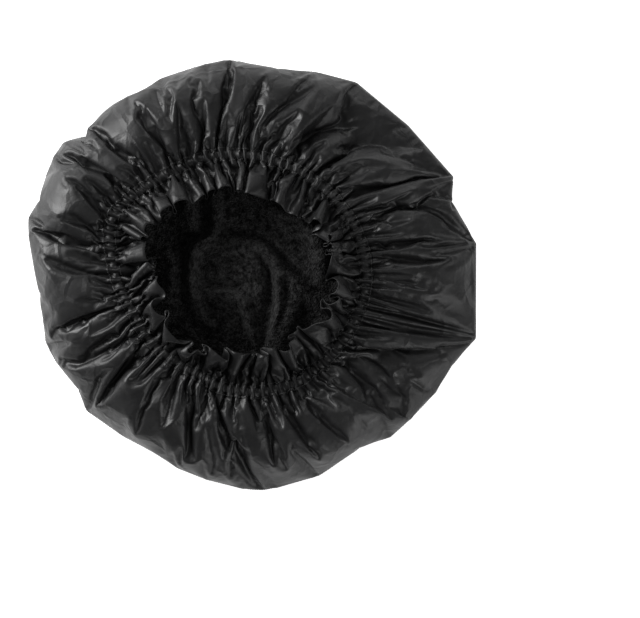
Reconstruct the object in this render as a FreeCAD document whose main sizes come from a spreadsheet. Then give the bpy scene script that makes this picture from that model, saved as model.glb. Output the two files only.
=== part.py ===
"""Soft spare tyre cover, relaxed and lying on its face with the elasticated mouth up.

Units are millimetres and +Z is up. The origin is the centre of the face panel's underside. The cover is
a round face panel, a side band that stands up from the rim and is gathered in over the back, a fleece
lining inside both, and a hem strip that holds the elastic and ends in a frilled header round the mouth.
Fabric is drawn here as plain shells, as if its gathers were ironed out.
"""

import FreeCAD, Part
import math
import os
import re

import Sketcher

# Driving dimensions. Each can be changed by itself.
SIZES = {
    "cover_radius": 338,        # outside of the side band, relaxed
    "wall_height": 34,          # upright part of the side band
    "shoulder_radius": 66,      # roll of the side band over on to the back
    "back_slope": 20,           # fall of the gathered back towards the mouth, degrees
    "elastic_radius": 191,      # middle of the elastic, relaxed
    "header_width": 44,         # frill between the elastic pocket and the mouth
    "fabric_thick": 0.6,        # coated outer fabric
    "fleece_thick": 2.5,        # lining
    "layer_gap": 0.2,           # air between outer fabric and lining
    "binding_width": 9,         # tape round the raw edges of the rim seam
    "binding_height": 2.4,
    "elastic_width": 8,         # flat elastic, lying in the plane of the hem
    "elastic_thick": 1.2,
    "elastic_lap": 26,          # how far the elastic's two ends are lapped
    "pocket_clear": 0.9,        # room round the elastic in its pocket
    "pocket_ramp": 2,           # where the two layers of the hem part to form the pocket
    "lip_width": 5,             # doubled edge that is sewn to the side band
    "lip_slit": 0.3,            # gap between the two layers of the lip
    "hem_gap": 0.5,             # between the lip and the side band's free edge
    "thread_dia": 0.8,
    "thread_gap": 0.05,         # between a stitch and the cloth it lies on
    "rim_stitch_height": 5,     # of the topstitching above the rim seam
    "row_inset": 2,             # of each stitch row from the edge of the cloth that it holds
    "bar_count": 6,             # bar tacks across the elastic's lap
    "bar_length": 6,
    "bar_dia": 0.6,
    "seam_angle": 97,           # where the side band's ends meet, degrees from +X
}

# Expressions that several pieces share, in the names of the table above.
THREAD_R = "thread_dia / 2"
ROLL_X = "(cover_radius - shoulder_radius)"
LIP_R = "(elastic_radius + elastic_width / 2 + pocket_clear + pocket_ramp + lip_width)"
POCKET_OUT = "(elastic_radius + elastic_width / 2 + pocket_clear)"
POCKET_IN = "(elastic_radius - elastic_width / 2 - pocket_clear)"
HEADER_OUT = "(elastic_radius - elastic_width / 2 - pocket_clear - pocket_ramp)"
HEADER_IN = "(elastic_radius - elastic_width / 2 - pocket_clear - pocket_ramp - header_width)"
BAND_END = "(elastic_radius + elastic_width / 2 + pocket_clear + pocket_ramp + lip_width + hem_gap)"
POCKET_HALF = "(elastic_thick + pocket_clear)"


def back_height(depth, radius=BAND_END):
    """Height of the gathered back at a radius, for the surface that lies depth inside the outer one."""
    rolled = f"(shoulder_radius - {depth}) * cos(back_slope)"
    run = f"({ROLL_X} - (shoulder_radius - {depth}) * sin(back_slope) - {radius})"
    return f"(wall_height + {rolled} - {run} * tan(back_slope))"


HEM_Z = back_height("fabric_thick / 2")

doc = FreeCAD.newDocument("spare_tyre_cover")
sheet = doc.addObject("Spreadsheet::Sheet", "Sizes")
for row, (alias, size) in enumerate(SIZES.items(), start=1):
    sheet.set(f"A{row}", alias)
    sheet.set(f"B{row}", str(size))
    sheet.setAlias(f"B{row}", alias)
doc.recompute()


def bound(expression):
    """The expression with each size's name pointing at its cell, and angles in degrees."""
    text = re.sub(r"[a-z]+(?:_[a-z]+)+", lambda m: "Sizes." + m.group(0), expression)
    return re.sub(r"Sizes\.(back_slope|seam_angle)", r"Sizes.\1 * 1deg", text)


def value(expression):
    """The number that an expression gives with the sizes as they are."""
    found = sheet.evalExpression(bound(expression))
    return float(getattr(found, "Value", found))


def new_body(name):
    body = doc.addObject("PartDesign::Body", name)
    body.Label = name
    return body


def plane_sketch(body, plane, name):
    """An empty sketch on one of the body's own origin planes."""
    sketch = body.newObject("Sketcher::SketchObject", name)
    origin = next(f for f in body.Origin.OriginFeatures if f.Role == plane)
    sketch.AttachmentSupport = [(origin, "")]
    sketch.MapMode = "FlatFace"
    return sketch


def bind(sketch, kind, *where, size):
    """Adds a dimension to the sketch and ties it to an expression."""
    index = sketch.addConstraint(Sketcher.Constraint(kind, *where, value(size)))
    sketch.setExpression(f"Constraints[{index}]", bound(size))


def add_circle(sketch, x, y, radius):
    """A circle whose centre and radius are expressions."""
    centre = FreeCAD.Vector(value(x), value(y), 0)
    geo = sketch.addGeometry(Part.Circle(centre, FreeCAD.Vector(0, 0, 1), value(radius)), False)
    bind(sketch, "Radius", geo, size=radius)
    bind(sketch, "DistanceX", -1, 1, geo, 3, size=x)
    bind(sketch, "DistanceY", -1, 1, geo, 3, size=y)


def add_outline(sketch, outline):
    """A closed outline. Each entry is (x, y), where a line leaves for the next point, or (x, y, radius)
    where an arc leaves, with its centre on the left of the way along for a radius and on the right for
    a radius that starts with a minus sign."""
    points = [FreeCAD.Vector(value(p[0]), value(p[1]), 0) for p in outline]
    ends = []
    for here, there, entry in zip(points, points[1:] + points[:1], outline):
        if len(entry) == 2:
            geo = sketch.addGeometry(Part.LineSegment(here, there), False)
            ends.append((geo, 1, 2))
            continue
        on_right = entry[2].startswith("-")
        size = entry[2].lstrip("-")
        radius = value(size)
        along = there - here
        left = FreeCAD.Vector(-along.y, along.x, 0).normalize()
        rise = math.sqrt(radius**2 - along.Length**2 / 4)
        centre = (here + there) / 2 + left * (-rise if on_right else rise)
        first, last = (there, here) if on_right else (here, there)
        begin, end = (math.atan2(p.y - centre.y, p.x - centre.x) for p in (first, last))
        circle = Part.Circle(centre, FreeCAD.Vector(0, 0, 1), radius)
        geo = sketch.addGeometry(Part.ArcOfCircle(circle, begin, end), False)
        bind(sketch, "Radius", geo, size=size)
        ends.append((geo, 2, 1) if on_right else (geo, 1, 2))
    for (geo, _, last), (next_geo, first, _) in zip(ends, ends[1:] + ends[:1]):
        sketch.addConstraint(Sketcher.Constraint("Coincident", geo, last, next_geo, first))
    for (geo, first, _), entry in zip(ends, outline):
        bind(sketch, "DistanceX", -1, 1, geo, first, size=entry[0])
        bind(sketch, "DistanceY", -1, 1, geo, first, size=entry[1])


def turned(body, sketch, name):
    """A full turn of the sketch about the body's Z axis."""
    feature = body.newObject("PartDesign::Revolution", name)
    feature.Profile = sketch
    feature.ReferenceAxis = (sketch, ["V_Axis"])
    feature.Angle = 360
    return feature


def ring(name, outline):
    """A body turned from one outline in the XZ plane."""
    body = new_body(name)
    sketch = plane_sketch(body, "XZ_Plane", name + "_outline")
    add_outline(sketch, outline)
    turned(body, sketch, name + "_turned")
    return body


def disc(name, radius, thickness, height):
    """A round panel that lies flat at a height."""
    body = new_body(name)
    sketch = plane_sketch(body, "XY_Plane", name + "_outline")
    centre = FreeCAD.Vector(0, 0, 0)
    geo = sketch.addGeometry(Part.Circle(centre, FreeCAD.Vector(0, 0, 1), value(radius)), False)
    sketch.addConstraint(Sketcher.Constraint("Coincident", geo, 3, -1, 1))
    bind(sketch, "Radius", geo, size=radius)
    pad = body.newObject("PartDesign::Pad", "sheet")
    pad.Profile = sketch
    pad.setExpression("Length", bound(thickness))
    body.setExpression("Placement.Base.z", bound(height))
    return body


def thread_rings(name, rings):
    """Rows of stitches, each drawn as the closed ring of thread that it is. The rings are (radius, z)."""
    body = new_body(name)
    sketch = plane_sketch(body, "XZ_Plane", name + "_sections")
    for radius, height in rings:
        add_circle(sketch, radius, height, THREAD_R)
    turned(body, sketch, name + "_turned")
    return body


def shell_outline(depth, thick, foot):
    """Section of one layer of the side band: upright wall, rolled shoulder, and the slope to the mouth.
    depth is how far the layer's outer surface lies inside the cover's, and foot is its lower edge."""
    inner = f"({depth} + {thick})"
    roll_out, roll_in = f"(shoulder_radius - {depth})", f"(shoulder_radius - {inner})"
    return [
        (f"cover_radius - {inner}", foot),
        (f"cover_radius - {depth}", foot),
        (f"cover_radius - {depth}", "wall_height", roll_out),
        (
            f"{ROLL_X} - {roll_out} * sin(back_slope)",
            f"wall_height + {roll_out} * cos(back_slope)",
        ),
        (BAND_END, back_height(depth)),
        (BAND_END, back_height(inner)),
        (
            f"{ROLL_X} - {roll_in} * sin(back_slope)",
            f"wall_height + {roll_in} * cos(back_slope)",
            "-" + roll_in,
        ),
        (f"cover_radius - {inner}", "wall_height"),
    ]


def side_band():
    """The coated outer layer, which stands on the face panel's rim."""
    return ring("side_band", shell_outline("0", "fabric_thick", "fabric_thick"))


def side_band_lining():
    """The fleece layer inside the side band, from the top of the rim seam's binding."""
    foot = "(fabric_thick + binding_height + layer_gap)"
    return ring("side_band_lining", shell_outline("(fabric_thick + layer_gap)", "fleece_thick", foot))


def rim_binding():
    """Tape folded over the raw edges of the rim seam, inside the foot of the side band."""
    outer, inner = "cover_radius - fabric_thick", "cover_radius - fabric_thick - binding_width"
    top = "fabric_thick + binding_height"
    return ring(
        "rim_seam_binding",
        [(inner, "fabric_thick"), (outer, "fabric_thick"), (outer, top), (inner, top)],
    )


def hem_strip():
    """The strip folded double: header frill, elastic pocket, and the lip that is sewn to the band."""
    ramp_end = f"({POCKET_OUT} + pocket_ramp)"
    slit = "lip_slit / 2"

    def at(radius, rise):
        return radius, f"{HEM_Z} + {rise}"

    def below(radius, drop):
        return radius, f"{HEM_Z} - ({drop})"

    return ring(
        "hem_strip",
        [
            below(HEADER_IN, "fabric_thick"),
            below(HEADER_OUT, "fabric_thick"),
            below(POCKET_IN, f"{POCKET_HALF} + fabric_thick"),
            below(POCKET_OUT, f"{POCKET_HALF} + fabric_thick"),
            below(ramp_end, f"{slit} + fabric_thick"),
            below(LIP_R, f"{slit} + fabric_thick"),
            below(LIP_R, slit),
            below(ramp_end, slit),
            below(POCKET_OUT, POCKET_HALF),
            below(POCKET_IN, POCKET_HALF),
            at(POCKET_IN, POCKET_HALF),
            at(POCKET_OUT, POCKET_HALF),
            at(ramp_end, slit),
            at(LIP_R, slit),
            at(LIP_R, f"{slit} + fabric_thick"),
            at(ramp_end, f"{slit} + fabric_thick"),
            at(POCKET_OUT, f"{POCKET_HALF} + fabric_thick"),
            at(POCKET_IN, f"{POCKET_HALF} + fabric_thick"),
            at(HEADER_OUT, "fabric_thick"),
            at(HEADER_IN, "fabric_thick"),
        ],
    )


def elastic_band():
    """Flat elastic in a ring, with one end lapped on top of the other about the +X axis."""
    inner, outer = "elastic_radius - elastic_width / 2", "elastic_radius + elastic_width / 2"
    low, high = f"{HEM_Z} - elastic_thick", HEM_Z
    body = ring("elastic_band", [(inner, low), (outer, low), (outer, high), (inner, high)])
    lap = plane_sketch(body, "XZ_Plane", "lap_outline")
    top = f"{HEM_Z} + elastic_thick"
    add_outline(lap, [(inner, high), (outer, high), (outer, top), (inner, top)])
    feature = body.newObject("PartDesign::Revolution", "lapped_end")
    feature.Profile = lap
    feature.ReferenceAxis = (lap, ["V_Axis"])
    feature.Midplane = True
    feature.setExpression("Angle", bound("elastic_lap / elastic_radius") + " * 180deg / pi")
    return body


def elastic_lap_stitches():
    """Bar tacks across the lap, side by side on top of the upper end."""
    bars = []
    count = int(value("bar_count"))
    for index in range(count):
        bar = doc.addObject("Part::Cylinder", f"bar_{index + 1}")
        bar.setExpression("Radius", bound("bar_dia / 2"))
        bar.setExpression("Height", bound("bar_length"))
        bar.Placement.Rotation = FreeCAD.Rotation(FreeCAD.Vector(0, 1, 0), 90)
        bar.setExpression("Placement.Base.x", bound("elastic_radius - bar_length / 2"))
        bar.setExpression("Placement.Base.y", bound(f"elastic_lap * {(index + 0.5) / count - 0.5}"))
        bar.setExpression("Placement.Base.z", bound(f"{HEM_Z} + elastic_thick + thread_gap + bar_dia / 2"))
        bars.append(bar)
    group = doc.addObject("Part::Compound", "elastic_lap_stitches")
    group.Links = bars
    return group


def seam_stitches(name, depth, foot, outward):
    """The thread of a closing seam, up the wall and over the back in one plane through the axis. It lies
    on the layer's outer surface, or on its inner one where outward is false."""
    side = f"({depth} - {THREAD_R} - thread_gap)" if outward else f"({depth} + {THREAD_R} + thread_gap)"
    roll = f"(shoulder_radius - {side})"
    body = new_body(name)
    path = plane_sketch(body, "XZ_Plane", name + "_path")
    x_wall, z_foot, z_wall = value(f"cover_radius - {side}"), value(foot), value("wall_height")
    centre = FreeCAD.Vector(value(ROLL_X), z_wall, 0)
    slope = math.radians(value("back_slope"))
    last = FreeCAD.Vector(value(f"{BAND_END} + row_inset"), 0, 0)
    last.y = value(back_height(side, f"({BAND_END} + row_inset)"))
    turn = centre + FreeCAD.Vector(-math.sin(slope), math.cos(slope), 0) * value(roll)
    start, wall_top = FreeCAD.Vector(x_wall, z_foot, 0), FreeCAD.Vector(x_wall, z_wall, 0)
    wall = path.addGeometry(Part.LineSegment(start, wall_top), False)
    circle = Part.Circle(centre, FreeCAD.Vector(0, 0, 1), value(roll))
    arc = path.addGeometry(Part.ArcOfCircle(circle, 0, math.pi / 2 + slope), False)
    back = path.addGeometry(Part.LineSegment(turn, last), False)
    path.addConstraint(Sketcher.Constraint("Coincident", wall, 2, arc, 1))
    path.addConstraint(Sketcher.Constraint("Coincident", arc, 2, back, 1))
    bind(path, "Radius", arc, size=roll)
    for geo, end, x, z in (
        (wall, 1, f"cover_radius - {side}", foot),
        (arc, 1, f"cover_radius - {side}", "wall_height"),
        (back, 1, f"{ROLL_X} - {roll} * sin(back_slope)", f"wall_height + {roll} * cos(back_slope)"),
        (back, 2, f"{BAND_END} + row_inset", back_height(side, f"({BAND_END} + row_inset)")),
    ):
        bind(path, "DistanceX", -1, 1, geo, end, size=x)
        bind(path, "DistanceY", -1, 1, geo, end, size=z)
    section = plane_sketch(body, "XY_Plane", name + "_section")
    section.setExpression("AttachmentOffset.Base.z", bound(foot))
    geo = section.addGeometry(Part.Circle(FreeCAD.Vector(x_wall, 0, 0), FreeCAD.Vector(0, 0, 1), 1), False)
    bind(section, "Radius", geo, size=THREAD_R)
    bind(section, "DistanceX", -1, 1, geo, 3, size=f"cover_radius - {side}")
    section.addConstraint(Sketcher.Constraint("PointOnObject", geo, 3, -1))
    doc.recompute()
    pipe = body.newObject("PartDesign::AdditivePipe", "thread")
    pipe.Profile = section
    pipe.Spine = path
    body.setExpression("Placement.Rotation.Angle", bound("seam_angle"))
    return body


def build():
    lining_depth = "(fabric_thick + layer_gap)"
    inner_face = "(fabric_thick + layer_gap + fleece_thick)"
    lining_foot = "(fabric_thick + binding_height + layer_gap)"
    over_lip = f"(lip_slit / 2 + fabric_thick + thread_gap + {THREAD_R})"
    over_header = f"(fabric_thick + thread_gap + {THREAD_R})"
    lip_row, header_row = f"{LIP_R} - row_inset", f"{HEADER_OUT} - row_inset"
    rim_row = f"cover_radius + thread_gap + {THREAD_R}"
    above_rim_row = "(rim_stitch_height + thread_dia)"
    return [
        disc("face_panel", "cover_radius", "fabric_thick", height="0"),
        disc(
            "face_lining",
            "cover_radius - fabric_thick - binding_width - layer_gap",
            "fleece_thick",
            height="fabric_thick",
        ),
        side_band(),
        side_band_lining(),
        rim_binding(),
        hem_strip(),
        elastic_band(),
        elastic_lap_stitches(),
        thread_rings("rim_seam_stitches", [(rim_row, "rim_stitch_height")]),
        thread_rings(
            "hem_outer_stitches",
            [(lip_row, f"{HEM_Z} + {over_lip}"), (lip_row, f"{HEM_Z} - {over_lip}")],
        ),
        thread_rings(
            "hem_inner_stitches",
            [(header_row, f"{HEM_Z} + {over_header}"), (header_row, f"{HEM_Z} - {over_header}")],
        ),
        seam_stitches("band_seam_stitches", "0", above_rim_row, outward=True),
        seam_stitches("lining_seam_stitches", inner_face, lining_foot, outward=False),
    ]


def check(pieces):
    """Stops if the document or a piece is not sound."""
    doc.recompute()
    for item in doc.Objects:
        if {"Invalid", "Error"} & set(item.State):
            raise RuntimeError(f"{item.Label} did not rebuild: {item.State}")
    for piece in pieces:
        if piece.Shape.isNull() or not piece.Shape.isValid() or piece.Shape.Volume <= 0:
            raise RuntimeError(f"{piece.Label} has no sound shape")


pieces = build()
check(pieces)
os.makedirs("parts", exist_ok=True)
for piece in pieces:
    piece.Shape.exportStep(os.path.join("parts", piece.Label + ".step"))
    box = piece.Shape.BoundBox
    print(
        f"{piece.Label:24s} solids {len(piece.Shape.Solids)} volume {piece.Shape.Volume:10.1f}"
        f" z {box.ZMin:7.2f} to {box.ZMax:7.2f} radius {box.XMax:7.2f}"
    )
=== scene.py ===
"""Looks of a soft spare tyre cover that lies relaxed on its face, with its frilled mouth up.

Everything is in metres, in the CAD model's frame: +Z up, and the origin at the middle of the face
panel's underside. The coated side band and the frilled header are one simulated sheet, held at the
rim seam and along the elastic. After the simulation it is parted into the band and the hem strip,
which rides on the mouth.
"""

import math

import bmesh
import bpy
import numpy as np
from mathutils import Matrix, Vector
from mathutils.bvhtree import BVHTree


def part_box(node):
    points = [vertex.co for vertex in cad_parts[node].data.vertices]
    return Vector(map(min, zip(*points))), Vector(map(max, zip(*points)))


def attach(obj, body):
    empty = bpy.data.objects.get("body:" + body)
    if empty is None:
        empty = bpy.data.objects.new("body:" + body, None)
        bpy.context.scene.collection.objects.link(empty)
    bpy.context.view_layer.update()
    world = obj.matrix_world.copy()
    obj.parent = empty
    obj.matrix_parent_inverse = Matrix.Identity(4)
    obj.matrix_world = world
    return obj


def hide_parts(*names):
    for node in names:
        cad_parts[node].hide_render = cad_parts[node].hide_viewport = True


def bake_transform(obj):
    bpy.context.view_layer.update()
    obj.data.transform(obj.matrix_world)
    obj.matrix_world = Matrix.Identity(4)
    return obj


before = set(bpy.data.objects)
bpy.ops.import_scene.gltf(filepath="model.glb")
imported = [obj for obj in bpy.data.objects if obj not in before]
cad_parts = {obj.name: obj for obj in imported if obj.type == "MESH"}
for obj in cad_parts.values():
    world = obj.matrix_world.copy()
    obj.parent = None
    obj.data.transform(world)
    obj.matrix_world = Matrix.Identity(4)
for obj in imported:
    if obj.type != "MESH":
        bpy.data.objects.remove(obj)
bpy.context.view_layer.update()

MM = 0.001
TURN = 2 * math.pi
SEED = 27

# Sizes that come from the frame.
COVER_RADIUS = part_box("side_band")[1].x
LIP_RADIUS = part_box("hem_strip")[1].x
ELASTIC_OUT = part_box("elastic_band")[1].x
HEM_HEIGHT = (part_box("elastic_band")[0].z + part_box("elastic_band")[1].z) / 2
BINDING_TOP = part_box("rim_seam_binding")[1].z
PANEL_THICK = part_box("face_panel")[1].z

# Sizes of the cloth, as cut.
BAND_LENGTH = 179 * MM          # rim seam to the lip of the hem strip
POCKET_LENGTH = 18.8 * MM       # lip of the hem strip to the end of the elastic's pocket
HEADER_LENGTH = 61 * MM         # from there to the free edge
FABRIC_THICK = 0.6 * MM
FLEECE_THICK = 2.5 * MM
BAND_FLEECE_THICK = FLEECE_THICK * 0.7
ELASTIC_WIDTH = 8 * MM
ELASTIC_THICK = 1.2 * MM
ELASTIC_RADIUS = ELASTIC_OUT - ELASTIC_WIDTH / 2
BINDING_WIDTH = 9 * MM
THREAD_DIA = 0.8 * MM
SEAM_DEG = 97                   # where the band, its lining and the elastic are joined into rings
STITCH = (3.6 * MM, 3.0 * MM)   # from one stitch to the next, and the length of one
HEM_STITCH = (3.4 * MM, 2.9 * MM)
LAP_STITCH = (1.9 * MM, 1.5 * MM)
LAP_THREAD_RADIUS = 0.3 * MM

PLEATS = 92                     # fine pleats round the elastic
PLEAT_SHARE = 0.33              # of a pleat's width, that it rises and falls
COLUMNS = 540                   # of cloth, round the sheet
FRAMES = 16                     # that the cloth is given to settle
EASED_FROM = 86 * MM            # folds above this height are pressed down
HIGHEST = 110 * MM              # so that none comes above this one
SECTORS = 12                    # parts that the band is cut into

# The rim as it lies: corners of straight edges, as (degrees from +X, share of the cover's radius).
RIM = [
    (8, 1.025), (22, 0.95), (26, 1.015), (44, 0.98), (62, 0.995), (72, 0.97), (81, 0.93),
    (88, 0.94), (95, 0.98), (107, 0.985), (113, 0.985), (122, 0.96), (127, 1.0), (133, 1.0),
    (141, 0.98), (146, 1.06), (155, 1.05), (159, 1.01), (165, 1.04), (170, 1.03), (187, 0.955),
    (198, 1.0), (203, 0.99), (212, 0.94), (219, 0.985), (231, 0.95), (243, 0.925), (248, 0.945),
    (257, 0.96), (267, 0.98), (276, 0.98), (288, 0.965), (304, 0.92), (310, 0.97), (327, 0.99),
    (335, 0.99), (344, 1.055),
]

# The line of the elastic as it lies: points as (degrees, share of its radius), on a smooth loop.
MOUTH = [
    (11, 0.90), (28, 0.89), (44, 0.88), (56, 0.88), (72, 0.90), (89, 0.93), (105, 0.98),
    (116, 1.0), (128, 1.02), (142, 1.08), (154, 1.17), (162, 1.18), (176, 1.09), (185, 1.04),
    (198, 0.97), (209, 0.96), (223, 0.93), (245, 0.90), (254, 0.93), (271, 0.94), (291, 0.93),
    (310, 0.90), (332, 0.89), (344, 0.89), (356, 0.90),
]

# The crests of the large folds: (degrees at the rim, degrees at the mouth, height as a share).
FOLDS = [
    (8, -2, 1.0), (22, 12, 0.6), (27, 32, 1.1), (45, 52, 1.0), (61, 60, 1.1),
    (73, 78, 0.7), (86, 89, 0.9), (95, 97, 1.0), (106, 109, 0.8), (114, 116, 0.9),
    (123, 124, 0.7), (133, 131, 1.0), (146, 143, 1.3), (154, 150, 0.8), (165, 158, 1.0),
    (172, 186, 1.3), (197, 204, 0.9), (204, 212, 0.8), (219, 227, 1.2), (231, 244, 0.9),
    (247, 253, 0.9), (257, 265, 1.0), (269, 272, 0.9), (278, 281, 0.9), (289, 292, 1.1),
    (303, 308, 0.9), (310, 319, 0.9), (327, 331, 0.8), (335, 341, 0.9), (344, 351, 1.2),
]

# ---- outlines and grids
def degrees_of(points):
    """The direction of each point from the middle, from -180 to 180 degrees."""
    return np.degrees(np.arctan2(points[:, 1], points[:, 0]))


def straight_radius(corners, degrees):
    """Radius at each angle of a closed outline whose corners are joined by straight edges."""
    angle = np.array([c[0] for c in corners] + [corners[0][0] + 360], float)
    reach = np.array([c[1] for c in corners] + [corners[0][1]], float)
    turned = (np.asarray(degrees, float) - angle[0]) % 360 + angle[0]
    edge = np.clip(np.searchsorted(angle, turned, side="right") - 1, 0, len(corners) - 1)
    a, b = np.radians(angle[edge]), np.radians(angle[edge + 1])
    t = np.radians(turned)
    return reach[edge] * reach[edge + 1] * np.sin(b - a) / (
        reach[edge] * np.sin(t - a) + reach[edge + 1] * np.sin(b - t)
    )


OUTLINE_STEP = 0.25             # degrees, between the points that an outline is worked out at


def spread_round(corners, scale, count, smooth_degrees):
    """count points evenly spaced round an outline from +X, and its length.

    smooth_degrees is how far round its corners are smoothed."""
    fine = np.arange(0, 360, OUTLINE_STEP)
    radius = straight_radius(corners, fine) * scale
    if smooth_degrees:
        wave = np.fft.rfft(radius)
        order = np.arange(len(wave))
        wave *= np.exp(-((order * math.radians(smooth_degrees)) ** 2) / 2)
        radius = np.fft.irfft(wave, len(radius))
    turn = np.radians(fine)
    ring = np.stack([radius * np.cos(turn), radius * np.sin(turn)], axis=-1)
    ring = np.vstack([ring, ring[:1]])
    along = np.concatenate([[0], np.cumsum(np.linalg.norm(np.diff(ring, axis=0), axis=1))])
    at = np.arange(count) / count * along[-1]
    return np.stack([np.interp(at, along, ring[:, k]) for k in (0, 1)], axis=1), along[-1]


def fold_phase(rim_degrees, mouth_degrees):
    """Numbers that are whole at each crest of FOLDS, at the rim and at the mouth."""
    phases = []
    for which, degrees in enumerate((rim_degrees, mouth_degrees)):
        crest = np.array([f[which] for f in FOLDS] + [FOLDS[0][which] + 360], float)
        turned = (np.asarray(degrees, float) - crest[0]) % 360 + crest[0]
        phases.append(np.interp(turned, crest, np.arange(len(crest))))
    rim, mouth = phases
    return rim, mouth + len(FOLDS) * np.round((rim - mouth) / len(FOLDS))


def unit(vectors, axis=1):
    """The vectors at length 1."""
    return vectors / np.maximum(np.linalg.norm(vectors, axis=axis, keepdims=True), 1e-12)


def smoothstep(x, start, end):
    """0 below start, 1 above end, and a smooth S between."""
    t = np.clip((x - start) / (end - start), 0, 1)
    return t * t * (3 - 2 * t)


def grid_faces(rows, columns):
    """Quads of a grid whose points run along each row in turn. Its rows are closed rings."""
    faces = []
    for row in range(rows - 1):
        for column in range(columns):
            a, b = row * columns + column, row * columns + (column + 1) % columns
            faces.append((a, b, b + columns, a + columns))
    return faces


def loop_faces(rows, columns):
    """Quads of a grid that is closed both ways, with the last row joined to the first."""
    faces = []
    for row in range(rows):
        own, other = row * columns, (row + 1) % rows * columns
        for column in range(columns):
            following = (column + 1) % columns
            faces.append((own + column, other + column, other + following, own + following))
    return faces


def refined(points):
    """The grid with a point between each two, on a smooth line through them. Its rows are rings."""
    before, after, beyond = (np.roll(points, shift, axis=1) for shift in (1, -1, -2))
    between = (9 * (points + after) - before - beyond) / 16
    wide = np.stack([points, between], axis=2).reshape(len(points), -1, 3)
    padded = np.concatenate([2 * wide[:1] - wide[1:2], wide, 2 * wide[-1:] - wide[-2:-1]])
    between = (9 * (padded[1:-2] + padded[2:-1]) - padded[:-3] - padded[3:]) / 16
    tall = np.empty((2 * len(wide) - 1, wide.shape[1], 3))
    tall[0::2], tall[1::2] = wide, between
    return tall


def grid_normals(points):
    """Unit normals of a grid whose rows are rings, on the side that its faces look to."""
    across = np.roll(points, -1, axis=1) - np.roll(points, 1, axis=1)
    along = np.gradient(points, axis=0)
    return unit(np.cross(across, along), 2)

# ---- meshes
def new_mesh(name, points, faces, uv=None, corner_uv=None):
    """A smooth-shaded object. uv holds a pair for each point, or corner_uv for each corner."""
    mesh = bpy.data.meshes.new(name)
    mesh.from_pydata(np.asarray(points, float).reshape(-1, 3).tolist(), [], faces)
    if uv is not None:
        corner = np.zeros(len(mesh.loops), np.int32)
        mesh.loops.foreach_get("vertex_index", corner)
        corner_uv = np.asarray(uv).reshape(-1, 2)[corner]
    if corner_uv is not None:
        layer = mesh.uv_layers.new(name="cloth")
        layer.data.foreach_set("uv", np.asarray(corner_uv, np.float32).ravel())
    mesh.polygons.foreach_set("use_smooth", np.ones(len(mesh.polygons), bool))
    obj = bpy.data.objects.new(name, mesh)
    bpy.context.scene.collection.objects.link(obj)
    return obj


def finish_piece(obj, material, body=None, nodes=()):
    """Gives a piece its material, the CAD nodes it stands for and its body."""
    obj.data.materials.append(material)
    if nodes:
        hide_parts(*nodes)
    if body:
        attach(obj, body)
    return obj

# ---- the simulated sheet
ROW_STEP = 5.0 * MM
HEADER_STEP = 4.4 * MM
# Rows of the hem, as distances inwards of the lip's edge, and where the elastic's middle is.
HEM_ROWS = np.array([0, 2.0, 5.0, 8.4, 11.9, 15.4, 18.8, 20.8]) * MM
ELASTIC_AT = LIP_RADIUS - ELASTIC_RADIUS
HELD_WITHIN = 4 * MM            # of the elastic's middle, cloth is held by it

CREST_RISE = 13 * MM            # of the large folds
PUCKER_RISE = 4.5 * MM          # of the folds two pleats wide, where the large folds begin
FRILL_RISE = 9 * MM             # of the same folds in the frill
RUFFLE_PUSH = 9 * MM            # how far the frill's edge swings in and out


def sheet_rows():
    """Distance of each row from the rim seam, and the numbers of the hem's first and last row."""
    band = np.linspace(0, BAND_LENGTH, round(BAND_LENGTH / ROW_STEP) + 1)[:-1]
    hem = BAND_LENGTH + HEM_ROWS
    header_from = hem[-1]
    header_to = BAND_LENGTH + POCKET_LENGTH + HEADER_LENGTH
    count = round((header_to - header_from) / HEADER_STEP) + 1
    header = np.linspace(header_from, header_to, count)[1:]
    return np.concatenate([band, hem, header]), len(band), len(band) + len(hem) - 1


def hem_heights(angle):
    """Height of the hem. It lies higher on the -X side, where the cloth is pushed together."""
    height = HEM_HEIGHT - 16 * MM - 15 * MM * np.cos(angle - 0.15)
    height += 3 * MM * np.sin(2 * angle + 0.6) + 3 * MM * np.sin(5 * angle + 2)
    return height


def frill_tilt(angle):
    """How far the free frill leans up, unevenly round the mouth."""
    return np.radians(
        14 + 10 * np.sin(3 * angle + 1.3) + 14 * np.sin(13 * angle + 4 * np.sin(2 * angle))
        + 10 * np.sin(29 * angle)
    )


def pleat_waves(column, angle):
    """Round the mouth: the fine pleats and their height, the puckers, and the frill's ruffle."""
    rng = np.random.default_rng(SEED)
    widths = rng.uniform(0.6, 1.5, PLEATS)
    edge = np.concatenate([[0], np.cumsum(widths)]) / widths.sum() * COLUMNS
    phase = np.interp(column, edge, np.arange(PLEATS + 1))
    middle = (edge[1:] + edge[:-1]) / 2
    width = np.interp(column, middle, widths / widths.mean(), period=COLUMNS)
    size = PLEAT_SHARE * width * TURN * ELASTIC_RADIUS * 0.95 / PLEATS
    fine = np.sin(TURN * phase)
    medium = np.sin(TURN * phase / 2 + 1.2 * np.sin(7 * angle))
    ruffle = np.sin(TURN * phase / 3.7 + 2 * np.sin(3 * angle)) * np.sin(5 * angle + 1)
    return size, fine, medium, ruffle


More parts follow.
